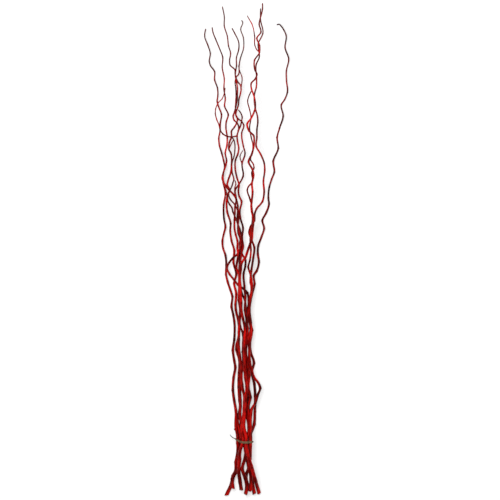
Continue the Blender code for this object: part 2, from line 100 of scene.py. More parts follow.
# Buds: least distance between two; the collar's and the bud's reach along the
# twig, as a share of the radius plus millimetres; how far the bud lies from
# the bend in radii, and its width in radians
NODE_APART = 13.0
COLLAR_REACH = (0.9, 1.2)
BUD_REACH = (0.45, 0.9)
BUD_BACK = 0.4
BUD_WIDTH = 0.55

# The collar's height, and the bud's on thin and on thick wood, as shares of
# the radius; the radius where thick wood starts; how much each marks the bark
COLLAR_RISE = 0.09
BUD_RISE = (0.34, 0.2)
THICK_WOOD = 3.5
BUD_SCAR = 0.9
COLLAR_SCAR = 0.35

# How far a twig's bark keeps from the bark of those made before it, and how
# deep inside them it is still looked for
HOLD_OFF = 0.12
HOLD_REACH = 2.0

# The tie: its place, the reach on each side where the stems are measured, how
# far its plies stand off them and its thickness; where along and across the
# bundle it lies lowest, and its sag to the left and to the right of that
TIE_ALONG = 168.0
TIE_REACH = 8.0
TIE_OFF = 1.25
TIE_THICK = 1.6
TIE_LOW = 165.2
TIE_LOW_ACROSS = -3.0
TIE_SAG = (0.0125, 0.003)
TIE_ANGLES = 180
TIE_RINGS = 260
TIE_SEED = 7

# Its plies side by side: their number, distance, half width and half
# thickness, and sides; how far they sway along the bundle and waver in
# height, the depth of their grain, and the step of tone between two
PLIES = 4
PLY_APART = 1.4
PLY_SIZE = (0.85, 0.6)
PLY_SIDES = 10
PLY_SWAY = 0.35
PLY_WAVER = 0.13
PLY_GRAIN = 0.10
PLY_TONE = 0.12

# Its knot: how far out it sits, and its curve's scale, rings, radius and tone
KNOT_OUT = 0.9
KNOT_SCALE = 0.55
KNOT_RINGS = 96
KNOT_RADIUS = 0.62
KNOT_TONE = 0.9

# Its free end: the bends across and along from its start, its fall for each
# millimetre outwards, its rings, the radius and turns of its two plies' twist,
# their radius, its taper and grain, and the tone where it starts
TIE_END = ((-4, 2), (-9, 5), (-13, 8), (-17, 13))
TIE_END_DROP = 0.3
END_RINGS = 120
END_HELIX = 0.7
END_TURNS = 7
END_RADIUS = 0.8
END_TAPER = 0.45
END_GRAIN = 0.12
END_TONE = 0.35

# The camera: its lens and sensor in millimetres, and in metres the width of
# its view, the view's middle in the routes' own places, its level and reach
LENS = 400.0
SENSOR = 36.0
VIEW_WIDTH = 1.52
VIEW_MIDDLE = (0.01216, 0.7503)
VIEW_LEVEL = 0.05
VIEW_REACH = 60.0

# The floor: its size and how far it lies under the bundle in metres, its
# grey, and its own light, which keeps the gaps among the twigs pale
FLOOR_SIZE = 14.0
FLOOR_DROP = 0.0003
FLOOR_GREY = 0.4
FLOOR_GLOW = 0.55

# The studio's even light, and the lamps: place, size and power. All of them
# point at the model's origin
STUDIO_LIGHT = 0.42
LAMPS = {
    "overhead": ((-0.6, 0.3, 3.2), 1.5, 112.0),
    "side": ((2.6, -0.5, 2.6), 1.2, 12.0),
}

# Bark: how dark its streaks are against its deep colour, and its gloss, which
# the dye tints
STREAK_SHADE = 0.42
BARK_GLOSS = 0.15
BARK_GLOSS_TINT = (1.0, 0.12, 0.08)

# The cut wood's colours: its rings, rough specks, pith and dyed rim; and the
# distances from its middle, in metres, where the pith ends and the rim starts
WOOD_RINGS = ((0.20, 0.035, 0.02), (0.34, 0.09, 0.045))
WOOD_SPECK = (0.16, 0.015, 0.012)
WOOD_PITH = (0.05, 0.018, 0.012)
WOOD_RIM = (0.16, 0.008, 0.008)
PITH_EDGE = (0.0005, 0.0009)
RIM_EDGE = (0.0032, 0.0044)
WOOD_GLOSS = 0.1

# The tie's colours: its pale and olive patches, the gaps between its fibres,
# and its weathered free end
FIBRE_PATCHES = ((0.17, 0.095, 0.045), (0.10, 0.075, 0.040))
FIBRE_GAP = (0.035, 0.025, 0.016)
FIBRE_END = (0.022, 0.024, 0.020)
FIBRE_GLOSS = 0.2

# Routes as seen from above, across and along in millimetres, with the radii
# at the cut end and at the tip
TWIGS = {
    "twig_1": ((5.0, 2.0), [
        (-40, 22), (-41, 54), (-33, 72), (-30, 106), (-25, 142), (-26, 164), (-26, 182), (-31, 212),
        (-31, 261), (-36, 291), (-40, 325), (-38, 361), (-33, 395), (-36, 413), (-40, 446), (-36, 477),
        (-36, 534), (-39, 553), (-44, 577), (-42, 610), (-48, 629), (-56, 653), (-61, 677), (-60, 705),
        (-63, 735), (-70, 756), (-72, 778), (-68, 799), (-63, 820), (-67, 845), (-68, 887), (-63, 924),
        (-69, 954), (-72, 969), (-65, 1006), (-68, 1021), (-74, 1045), (-81, 1069), (-83, 1091),
        (-79, 1115), (-79, 1133), (-75, 1164), (-84, 1188), (-88, 1203), (-86, 1221), (-87, 1243),
        (-96, 1270), (-96, 1294), (-109, 1313), (-112, 1325), (-109, 1349), (-116, 1373), (-126, 1401),
        (-123, 1425)]),
    "twig_2": ((5.2, 2.0), [
        (-14, 18), (-18, 45), (-22, 78), (-20, 115), (-19, 135), (-15, 150), (-8, 173), (-12, 193),
        (-13, 207), (-11, 221), (-9, 238), (-7, 251), (-6, 268), (-5, 287), (-5, 305), (-9, 322),
        (-12, 341), (-14, 363), (-14, 386), (-16, 408), (-19, 430), (-22, 452), (-22, 477), (-22, 501),
        (-21, 526), (-19, 543), (-18, 560), (-19, 579), (-22, 598), (-21, 623), (-21, 650), (-22, 677),
        (-29, 696), (-27, 714), (-24, 732), (-26, 756), (-26, 778), (-31, 796), (-35, 817), (-35, 841),
        (-34, 863), (-33, 884), (-30, 905), (-38, 919), (-52, 933), (-64, 948), (-69, 960), (-70, 978),
        (-61, 1009), (-59, 1021), (-63, 1045), (-58, 1069), (-57, 1091), (-61, 1121), (-60, 1139),
        (-54, 1161), (-65, 1188), (-63, 1209), (-67, 1240), (-66, 1270), (-72, 1304), (-71, 1337),
        (-79, 1358), (-93, 1392), (-100, 1410), (-103, 1427)]),
    "twig_3": ((5.0, 1.9), [
        (-2, 5), (2, 24), (-3, 57), (-12, 85), (-8, 101), (-1, 118), (-2, 142), (-3.5, 168), (6, 188),
        (8, 212), (4, 240), (2, 270), (4, 300), (3, 331), (1, 364), (3, 398), (0, 434), (2, 477),
        (5, 513), (0, 547), (-3, 568), (-2, 607), (-5, 641), (-7, 680), (-2, 702), (-2, 720), (-13, 741),
        (-9, 759), (-12, 787), (-9, 817), (-17, 848), (-19, 869), (-14, 899), (-21, 914), (-23, 933),
        (-21, 948), (-27, 969), (-33, 1000), (-32, 1024), (-25, 1042), (-22, 1060), (-26, 1082),
        (-27, 1097), (-22, 1124), (-27, 1136), (-36, 1145), (-39, 1158), (-36, 1167), (-27, 1206),
        (-26, 1228), (-26, 1243), (-29, 1261), (-32, 1276), (-33, 1288), (-33, 1296), (-49, 1314),
        (-50, 1325), (-47, 1349), (-53, 1370), (-57, 1401), (-66, 1431), (-66, 1459), (-72, 1491)]),
    "twig_4": ((5.4, 2.0), [
        (-61, 0), (-43, 42), (-38, 63), (-30, 81), (-28, 106), (-19, 145), (-17, 173), (-18, 188),
        (-21, 202), (-24, 216), (-26, 229), (-24, 243), (-20, 257), (-18, 274), (-20, 293), (-21, 310),
        (-22, 333), (-22, 355), (-21, 377), (-20, 399), (-21, 419), (-25, 433), (-29, 448), (-29, 460),
        (-25, 474), (-22, 488), (-21, 507), (-22, 524), (-24, 539), (-28, 553), (-31, 568), (-32, 585),
        (-31, 598), (-30, 617), (-36, 650), (-30, 674), (-38, 714), (-36, 750), (-44, 778), (-48, 808),
        (-47, 832), (-57, 866), (-56, 917), (-50, 933), (-57, 948), (-55, 960), (-46, 987), (-44, 1009),
        (-46, 1045), (-52, 1057), (-50, 1079), (-44, 1094), (-44, 1112), (-36, 1123), (-29, 1135),
        (-26, 1147), (-31, 1162), (-29, 1173), (-24, 1188), (-21, 1211), (-17, 1225), (-15, 1241),
        (-17, 1252), (-23, 1259), (-28, 1268), (-32, 1280), (-32, 1291), (-29, 1310), (-29, 1334),
        (-22, 1361), (-22, 1380), (-35, 1410), (-43, 1425)]),
    "twig_5": ((4.8, 1.8), [
        (-19, 48), (-22, 78), (-19, 115), (-20, 132), (-16, 150), (-12.5, 173), (-12, 188), (-13, 204),
        (-15, 221), (-17, 238), (-18, 254), (-17, 274), (-17, 293), (-18, 308), (-17, 336), (-15, 363),
        (-8, 410), (-4, 446), (-1, 483), (1, 522), (4, 559), (8, 595), (3, 621), (-9, 633), (-24, 644),
        (-36, 659), (-50, 677), (-58, 696), (-55, 705), (-40, 726), (-27, 737), (-18, 756), (-17, 787),
        (-23, 814), (-26, 851), (-25, 884), (-31, 914), (-33, 933), (-23, 948), (-9, 975), (-12, 1012),
        (-3, 1045), (-8, 1066), (-13, 1106), (-7, 1130), (-14, 1142), (-24, 1149), (-32, 1167),
        (-32, 1185), (-31, 1206), (-30, 1225), (-31, 1243), (-33, 1261), (-30, 1275), (-22, 1285),
        (-21, 1310), (-18, 1328), (-7, 1367), (-8, 1395), (-16, 1422), (-10, 1442), (-14, 1449)]),
    "twig_6": ((5.0, 1.9), [
        (15, 16), (14.5, 55), (11, 94), (13, 124), (14, 154), (14.5, 179), (14, 212), (15, 249),
        (18, 267), (28, 284), (36, 309), (43, 331), (39, 343), (24, 364), (18, 382), (12, 410),
        (11, 452), (16, 495), (15, 531), (11, 568), (15, 604), (19, 641), (14, 674), (7, 699), (12, 720),
        (15, 750), (13, 781), (17, 817), (20, 851), (16, 890), (11, 908), (4, 933), (7, 942), (19, 957),
        (18, 987), (24, 999), (22, 1011), (14, 1024), (20, 1048), (21, 1069), (16, 1091), (11, 1121),
        (15, 1155), (11, 1176), (5, 1203), (8, 1215), (17, 1234)]),
    "twig_7": ((5.5, 2.2), [
        (40, 9), (29, 48), (17, 91), (5, 133), (1, 167), (1, 180), (-2, 193), (-6, 210), (-6, 227),
        (-4, 246), (-2, 267), (0, 303), (2, 334), (-2, 364), (-4, 398), (-5, 434), (-5, 477), (-4, 513),
        (-9, 541), (-14, 565), (-15, 592), (-17, 638), (-19, 665), (-16, 690), (-14, 708), (-9, 718),
        (-2, 727), (3, 741), (8, 756), (13, 770), (18, 784), (20, 808), (22, 829), (22, 848), (18, 866),
        (16, 884), (17, 896), (20, 927), (18, 951), (23, 978), (20, 993), (8, 1018), (18, 1042),
        (25, 1082), (23, 1097), (9, 1112), (4, 1133), (15, 1149), (25, 1170), (28, 1182), (23, 1221),
        (17, 1237), (16, 1255), (28, 1269), (33, 1282), (27, 1297), (26, 1325), (41, 1349), (41, 1370),
        (33, 1392), (45, 1410), (40, 1434), (47, 1465), (50, 1480), (50, 1498)]),
    "twig_8": ((5.2, 2.0), [
        (26, 5), (18, 50), (11, 88), (5, 124), (5.5, 154), (5.5, 179), (13, 212), (10, 246), (7, 270),
        (13, 303), (7, 334), (10, 370), (7, 404), (10, 440), (8, 477), (14, 513), (7, 550), (10, 580),
        (12, 601), (17, 635), (14, 653), (16, 686), (22, 726), (25, 759), (17, 781), (10, 805),
        (15, 823), (25, 838), (27, 863), (32, 875), (50, 898), (55, 924), (53, 960), (57, 993),
        (55, 1015), (44, 1042), (31, 1066), (33, 1091), (33, 1115), (36, 1139), (35, 1155), (28, 1182),
        (26, 1225), (31, 1243), (32, 1273), (31, 1313), (40, 1334), (38, 1380), (43, 1389), (51, 1407),
        (44, 1449), (44, 1484)]),
    "twig_9": ((5.1, 2.1), [
        (11, 13), (1, 66), (9, 88), (12, 115), (11, 151), (10, 175), (25, 221), (27, 258), (28, 306),
        (25, 343), (18, 379), (24, 407), (14, 440), (12, 461), (18, 507), (8, 547), (11, 577), (14, 595),
        (18, 613), (26, 647), (24, 674), (32, 686), (39, 714), (36, 738), (37, 762), (47, 790),
        (55, 817), (50, 841), (61, 863), (70, 890), (68, 908), (71, 942), (78, 966), (86, 987),
        (83, 1021), (98, 1060), (95, 1094), (102, 1121), (113, 1158), (108, 1194), (117, 1208),
        (126, 1231), (123, 1267), (123, 1297), (130, 1331), (119, 1367), (122, 1404), (116, 1419),
        (108, 1431), (101, 1438), (93, 1436)]),
    "twig_10": ((4.5, 2.3), [
        (1, 36), (-2, 57), (-11, 85), (-7, 103), (-2, 127), (1, 154), (1, 176), (-5, 203), (-6, 225),
        (-3, 245), (-1, 270), (0, 303), (1, 334), (-1, 364), (-9, 399), (-9, 421), (-10, 441), (-9, 466),
        (-9, 490), (-12, 503), (-17, 517), (-19, 532), (-19, 548), (-18, 571), (-18, 598), (-19, 629),
        (-19, 659), (-21, 686), (-20, 714), (-19, 744), (-19, 772), (-15, 799), (-20, 817), (-26, 832),
        (-32, 848), (-40, 866), (-43, 879), (-50, 889), (-55, 899), (-57, 914), (-62, 933), (-67, 951),
        (-72, 969), (-69, 987), (-64, 1006)]),
    "twig_11": ((4.5, 2.0), [
        (9, 81), (4, 109), (-1, 139), (-8, 164), (-8, 182), (-7, 203), (-5, 233), (-3, 264), (1, 294),
        (5, 328), (2, 364), (-3, 395), (-2, 428), (-4, 465), (-3, 501), (1, 537), (0, 568), (-3, 595),
        (-10, 612), (-16, 632), (-19, 656), (-19, 686), (-17, 714), (-14, 738), (-14, 762), (-18, 784),
        (-24, 802), (-25, 817), (-23, 835), (-22, 854), (-26, 872), (-32, 884), (-37, 892), (-46, 902),
        (-51, 911), (-53, 921), (-49, 931), (-44, 942), (-40, 954), (-37, 966), (-41, 981), (-43, 997),
        (-42, 1018), (-37, 1033), (-34, 1051), (-34, 1073), (-37, 1085), (-42, 1093)]),
}

# Side shoots: the twig, how far along it they grow, their radii and route
SHOOTS = [
    ("twig_3", 1097, (2.4, 1.5), [
        (-44, 1094), (-58, 1096), (-70, 1103), (-78, 1114), (-82, 1130), (-89, 1147), (-93, 1164),
        (-92, 1179), (-85, 1196), (-73, 1209), (-66, 1225), (-63, 1243)]),
    ("twig_3", 1112, (2.4, 2), [
        (-18, 1124), (-14, 1139), (-12, 1155), (-16, 1167), (-24, 1177)]),
    ("twig_7", 1349, (2, 1.5), [
        (32, 1358), (27, 1370), (26, 1398), (17, 1436), (10, 1448), (3, 1460)]),
    ("twig_4", 1240, (1.9, 1.5), [
        (-13, 1279), (-19, 1294), (-23, 1312)]),
    ("twig_2", 909, (2.2, 1.8), [
        (-34, 927), (-34, 939), (-31, 951), (-34, 963)]),
    ("twig_4", 1057, (2, 1.5), [
        (-45, 1073), (-37, 1087)]),
    ("twig_5", 1012, (1.9, 1.5), [
        (-18, 1036), (-9, 1054)]),
    ("twig_1", 196, (2.2, 2), [
        (-37, 207)]),
]

# Painted shade: stretches along the bundle where a twig's bark is painted nearly black as shade, and how
# dark
PAINTED_SHADE_STRETCHES = {
    "twig_1": ((455, 540), (830, 880), (1290, 1330)),
    "twig_2": ((10, 75), (880, 925), (1150, 1190)),
    "twig_3": ((600, 725), (765, 855), (1165, 1215)),
    "twig_4": ((230, 265), (1020, 1075), (1345, 1400)),
    "twig_5": ((598, 640), (955, 1010), (1235, 1265)),
    "twig_6": ((295, 345), (860, 935), (1080, 1130)),
    "twig_7": ((745, 785), (1020, 1060)),
    "twig_8": ((700, 775), (1100, 1165)),
    "twig_9": ((300, 380), (735, 785), (880, 960), (1030, 1085), (1120, 1200)),
    "twig_10": ((780, 830), (940, 985)),
    "twig_11": ((230, 270), (790, 835), (925, 965)),
}
PAINTED_SHADE_DEPTH = 1.6

# Colours of each twig's bark: deep, bright, tip, and where the tip starts
BARK = {
    "twig_1": ((0.050, 0.0005, 0.0005), (0.34, 0.002, 0.002), (0.07, 0.010, 0.008), 0.78),
    "twig_2": ((0.070, 0.0005, 0.0005), (0.48, 0.004, 0.003), (0.07, 0.014, 0.012), 0.80),
    "twig_3": ((0.050, 0.0005, 0.0005), (0.36, 0.002, 0.002), (0.08, 0.015, 0.013), 0.82),
    "twig_4": ((0.060, 0.0005, 0.0005), (0.44, 0.003, 0.002), (0.07, 0.014, 0.012), 0.82),
    "twig_5": ((0.040, 0.0005, 0.0005), (0.30, 0.002, 0.002), (0.085, 0.055, 0.05), 0.88),
    "twig_6": ((0.050, 0.0005, 0.0005), (0.40, 0.003, 0.002), (0.09, 0.014, 0.012), 0.86),
    "twig_7": ((0.075, 0.0005, 0.0005), (0.52, 0.004, 0.003), (0.11, 0.014, 0.012), 0.84),
    "twig_8": ((0.055, 0.0005, 0.0005), (0.40, 0.003, 0.002), (0.08, 0.016, 0.013), 0.84),
    "twig_9": ((0.040, 0.0005, 0.0005), (0.29, 0.002, 0.002), (0.01, 0.005, 0.005), 0.90),
    "twig_10": ((0.040, 0.0005, 0.0005), (0.29, 0.002, 0.002), (0.04, 0.007, 0.007), 0.90),
    "twig_11": ((0.050, 0.0005, 0.0005), (0.34, 0.002, 0.002), (0.06, 0.009, 0.009), 0.90),
}


def full_turn(count):
    """Even angles round a full turn."""
    return np.linspace(0, 2 * math.pi, count, endpoint=False)


def lengths_along(points):
    """The length of a line of points from its start to each of them."""
    step = np.linalg.norm(np.diff(points, axis=0), axis=1)
    return np.concatenate([[0.0], np.cumsum(step)])


def node_points(name):
    """A CAD node's vertices in millimetres, in the routes' own places."""
    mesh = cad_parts[name].data
    points = np.empty(3 * len(mesh.vertices))
    mesh.vertices.foreach_get("co", points)
    points = points.reshape(-1, 3) / MM
    points[:, :2] += MIDDLE
    return np.unique(points.round(3), axis=0)


def with_heights(route, points):
    """The route with the height of the CAD tube's ring at each of its bends."""
    found = []
    for across, along in route:
        away = np.hypot(points[:, 0] - across, points[:, 1] - along)
        ring = points[np.argsort(away)[:8]]
        found.append((across, along, 0.5 * (ring[:, 2].min() + ring[:, 2].max())))
    return np.array(found)


def smooth_path(knots):
    """A smooth curve through the knots, read at even steps, and its length."""
    chord = np.linalg.norm(np.diff(knots, axis=0), axis=1)
    when = lengths_along(knots)
    slope = np.diff(knots, axis=0) / chord[:, None]
    tangent = np.empty_like(knots)
    tangent[0], tangent[-1] = slope[0], slope[-1]
    before, after = chord[:-1, None], chord[1:, None]
    tangent[1:-1] = (slope[:-1] * after + slope[1:] * before) / (before + after)
    at = np.linspace(0.0, when[-1], int(when[-1] / RING_STEP) + 1)
    k = np.clip(np.searchsorted(when, at, "right") - 1, 0, len(chord) - 1)
    h = chord[k][:, None]
    t = ((at - when[k]) / chord[k])[:, None]
    path = ((2 * t ** 3 - 3 * t ** 2 + 1) * knots[k] + (t ** 3 - 2 * t ** 2 + t) * h * tangent[k]
            + (3 * t ** 2 - 2 * t ** 3) * knots[k + 1] + (t ** 3 - t ** 2) * h * tangent[k + 1])
    return path, lengths_along(path)


def frames_along(path):
    """Tangent and two side directions at each point, without twist."""
    tangent = np.gradient(path, axis=0)
    tangent /= np.linalg.norm(tangent, axis=1)[:, None]
    side = np.cross(tangent[0], (0.0, 0.0, 1.0))
    sides = []
    for direction in tangent:
        side = side - direction * np.dot(side, direction)
        side /= np.linalg.norm(side)
        sides.append(side)
    sides = np.array(sides)
    return tangent, sides, np.cross(tangent, sides)


def rings_round(path, side, up, angle, radius):
    """Rings of points round a path, one ring for each of its points."""
    way = side[:, None, :] * np.cos(angle)[..., None] + up[:, None, :] * np.sin(angle)[..., None]
    return path[:, None, :] + radius[..., None] * way


def waves(rng, count, across, along):
    """A sum of random waves over a tube's surface, seamless round it."""
    terms = [(rng.randint(*across), rng.uniform(*along) * rng.choice((-1, 1)),
              rng.uniform(0, 2 * math.pi), rng.uniform(0.5, 1.0)) for _ in range(count)]
    size = math.sqrt(sum(term[3] ** 2 for term in terms))

    def field(angle, length):
        total = 0.0
        for turns, rate, phase, weight in terms:
            total = total + weight * np.sin(turns * angle + rate * length + phase)
        return total / size
    return field


def bud_places(knots, path, length, side, up):
    """Where leaves once grew: at each bend, with the bud on its outer side."""
    places = []
    last = 0.0
    steps = np.diff(knots, axis=0)
    steps /= np.linalg.norm(steps, axis=1)[:, None]
    for k in range(1, len(knots) - 1):
        spot = np.argmin(np.linalg.norm(path - knots[k], axis=1))
        if length[spot] - last < NODE_APART:
            continue
        last = length[spot]
        outwards = steps[k - 1] - steps[k]
        turn = math.atan2(np.dot(outwards, up[spot]), np.dot(outwards, side[spot]))
        places.append((last, turn))
    return places


def tapered(radii, length):
    """A twig's radius along its length: its taper, and the flare at its cut end."""
    left = 1 - length / length[-1]
    return radii[1] + (radii[0] - radii[1]) * left ** TAPER_POWER + FLARE * np.exp(-length / FLARE_LENGTH)


def sweep(knots, radii, rng, sides, cut, shade_stretches=()):
    """One twig's surface: places, bark places, tone, scars with painted shade, and the way it starts."""
    path, length = smooth_path(knots)
    total = length[-1]
    if cut:
        base = tapered(radii, length)
    else:
        base = np.interp(length, (0, total), radii)
        base *= 1 + SHOOT_FLARE * np.exp(-length / SHOOT_FLARE_LENGTH)
    tip = np.clip((total - length) / (TIP_LENGTH * radii[1]), 0.0, 1.0)
    base = base * SLACK * np.sqrt(np.clip(1 - (1 - tip) ** 2, TIP_LEAST, 1.0))
    angle = full_turn(sides)[None, :]
    along = length[:, None]
    tangent, side, up = frames_along(path)
    relief = 1.0
    for count, turns, rates, share in UNEVEN:
        relief = relief + share * waves(rng, count, turns, rates)(angle, along)
    radius = base[:, None] * relief
    scar = np.zeros_like(radius)
    for at, turn in bud_places(knots, path, length, side, up):
        away = along - at
        here = np.interp(at, length, base)
        turned = np.angle(np.exp(1j * (angle - turn)))
        collar = np.exp(-(away / (COLLAR_REACH[0] * here + COLLAR_REACH[1])) ** 2)
        bud = np.exp(-((away + BUD_BACK * here) / (BUD_REACH[0] * here + BUD_REACH[1])) ** 2
                     - (turned / BUD_WIDTH) ** 2)
        rise = BUD_RISE[0] if here < THICK_WOOD else BUD_RISE[1]
        radius = radius + here * (COLLAR_RISE * collar + rise * bud)
        scar = np.maximum(scar, BUD_SCAR * bud + COLLAR_SCAR * collar)
    places = rings_round(path, side, up, angle, radius)
    if cut:
        lean = rng.uniform(0, 2 * math.pi)
        slant = rng.uniform(*CUT_SLANT)
        fade = np.clip(1 - along / (CUT_FADE * radii[0]), 0, 1)
        shear = slant * fade * (radius * np.cos(angle - lean) + radii[0])
        places += tangent[:, None, :] * shear[..., None]
    bark = np.stack([base[:, None] * np.cos(angle), base[:, None] * np.sin(angle),
                     along + 0 * angle], axis=-1)
    # Painted shade: the listed stretches of bark are darkened nearly to black through the scar mask
    for low, high in shade_stretches:
        middle, half = (low + high) / 2, (high - low) / 2
        painted_shade = PAINTED_SHADE_DEPTH * np.exp(-((path[:, 1] - middle) / half) ** 4)
        scar = np.maximum(scar, painted_shade[:, None])
    tone = np.broadcast_to(along / total, radius.shape)
    return places, bark, tone, scar, tangent[0]


def tube_faces(rings, sides, first):
    """Quads between neighbouring rings, each given as vertex numbers."""
    ring = np.arange(rings - 1)[:, None] * sides
    spot = np.arange(sides)[None, :]
    after = (spot + 1) % sides
    quads = np.stack([ring + spot, ring + after, ring + sides + after, ring + sides + spot], axis=-1)
    return (quads.reshape(-1, 4) + first).tolist()


class Skin:
    """Collects the tubes of one piece into a single mesh."""

    def __init__(self):
        self.places, self.bark, self.tone, self.scar, self.faces, self.slots = [], [], [], [], [], []
        self.count = 0

    def add_rows(self, places, bark, tone, scar):
        """Vertices with their places on the bark, their tone, and their scars and painted shade."""
        self.places.append(places.reshape(-1, 3))
        self.bark.append(bark.reshape(-1, 3))
        self.tone.append(np.asarray(tone).reshape(-1))
        self.scar.append(np.asarray(scar).reshape(-1))
        self.count += self.places[-1].shape[0]

    def add_faces(self, faces, slot):
        self.faces += faces
        self.slots += [slot] * len(faces)

    def add_tube(self, swept, cut):
        """A swept tube, closed at its tip and, at the base, by its cut face."""
        places, bark, tone, scar, direction = swept
        rings, sides = places.shape[:2]
        first = self.count
        self.add_rows(places, bark, tone, scar)
        self.add_faces(tube_faces(rings, sides, first), 0)
        tip_ring = first + (rings - 1) * sides
        self.add_rows(places[-1].mean(axis=0)[None], bark[-1].mean(axis=0)[None], [1.0], [0.0])
        top = self.count - 1
        self.add_faces([[tip_ring + k, tip_ring + (k + 1) % sides, top] for k in range(sides)], 0)
        middle = places[0].mean(axis=0)
        outer_ring = first
        if cut:
            for step in range(1, CUT_RINGS):
                share = 1 - step / CUT_RINGS
                grain = CUT_GRAIN * math.sin(step * CUT_GRAIN_STEP)
                row = middle + (places[0] - middle) * share - direction * grain
                inner_ring = self.count
                flat = np.column_stack([bark[0][:, :2] * share, bark[0][:, 2]])
                self.add_rows(row, flat, tone[0], np.zeros(sides))
                self.add_faces([[outer_ring + (k + 1) % sides, outer_ring + k, inner_ring + k,
                                 inner_ring + (k + 1) % sides] for k in range(sides)], 1)
                outer_ring = inner_ring
        self.add_rows(middle[None], np.zeros((1, 3)), [0.0], [0.0])
        last = self.count - 1
        self.add_faces([[outer_ring + (k + 1) % sides, outer_ring + k, last] for k in range(sides)],
                       1 if cut else 0)

    def add_loop(self, places, tone):
        """A tube that closes on itself; its bark places follow its length."""
        rings, sides = places.shape[:2]
        first = self.count
        length = lengths_along(places.mean(axis=1))[:, None]
        angle = full_turn(sides)[None, :]
        bark = np.stack([np.cos(angle) + 0 * length, np.sin(angle) + 0 * length, length + 0 * angle],
                        axis=-1)
        self.add_rows(places, bark, np.full(rings * sides, tone), np.zeros(rings * sides))
        self.add_faces(tube_faces(rings, sides, first), 0)
        last = first + (rings - 1) * sides
        self.add_faces([[last + k, last + (k + 1) % sides, first + (k + 1) % sides, first + k]
                        for k in range(sides)], 0)

    def build(self, name, materials):
        """The piece's object, in metres round the model's origin."""
        places = np.vstack(self.places)
        places[:, :2] -= MIDDLE
        places = np.clip(places * MM, cad_low, cad_high)
        mesh = bpy.data.meshes.new(name)
        mesh.from_pydata(places.tolist(), [], self.faces)
        bark = mesh.attributes.new("bark", "FLOAT_VECTOR", "POINT")
        bark.data.foreach_set("vector", (np.vstack(self.bark) * MM).ravel())
        for label, rows in (("tone", self.tone), ("scar", self.scar)):
            layer = mesh.attributes.new(label, "FLOAT", "POINT")
            layer.data.foreach_set("value", np.concatenate(rows).astype(float))
        for material in materials:
            mesh.materials.append(material)
        mesh.polygons.foreach_set("material_index", self.slots)
        mesh.shade_smooth()
        mesh.set_sharp_from_angle(angle=math.radians(SHARP_DEGREES))
        mesh.validate()
        piece = bpy.data.objects.new(name, mesh)
        bpy.context.scene.collection.objects.link(piece)
        return piece


class Graph:
    """A small helper to write a material's nodes in the order they are read."""

    def __init__(self, name):
        self.material = bpy.data.materials.new(name)
        self.material.use_nodes = True
        self.tree = self.material.node_tree
        self.shader = self.tree.nodes["Principled BSDF"]

    def node(self, kind, inputs=(), **settings):
        made = self.tree.nodes.new(kind)
        for key, value in settings.items():
            setattr(made, key, value)
        for key, value in dict(inputs).items():
            self.put(made.inputs[key], value)
        return made

    def put(self, socket, value):
        """Links a socket, or sets its own value; a colour may leave out its alpha."""
        if isinstance(value, bpy.types.NodeSocket):
            self.tree.links.new(value, socket)
        elif socket.type == "RGBA":
            socket.default_value = (*value, 1.0)
        else:
            socket.default_value = value

    def shade(self, **inputs):
        """Sets the shader's sockets, whose names are written with underscores."""
        for key, value in inputs.items():
            self.put(self.shader.inputs[key.replace("_", " ")], value)

    def bump(self, height, strength, distance):
        made = self.node("ShaderNodeBump", {"Height": height, "Strength": strength, "Distance": distance})
        self.shade(Normal=made.outputs["Normal"])

    def attribute(self, name, output="Fac"):
        return self.node("ShaderNodeAttribute", attribute_name=name).outputs[output]

    def stretched(self, vector, scale):
        return self.node("ShaderNodeMapping", {"Vector": vector, "Scale": scale}).outputs["Vector"]

    def noise(self, vector, scale, detail=3.0, roughness=0.55):
        made = self.node("ShaderNodeTexNoise", {"Vector": vector, "Scale": scale, "Detail": detail,
                                                "Roughness": roughness})
        return made.outputs["Fac"]

    def ramp(self, factor, low, high, to_low=0.0, to_high=1.0):
        made = self.node("ShaderNodeMapRange", {"Value": factor, "From Min": low, "From Max": high,
                                                "To Min": to_low, "To Max": to_high})
        made.interpolation_type = "SMOOTHSTEP"
        return made.outputs["Result"]

    def mix(self, factor, first, second):
        made = self.node("ShaderNodeMix", {"Factor": factor, "A": first, "B": second}, data_type="RGBA")
        return made.outputs["Result"]

    def math(self, operation, first, second):
        made = self.node("ShaderNodeMath", {0: first, 1: second}, operation=operation)
        return made.outputs[0]


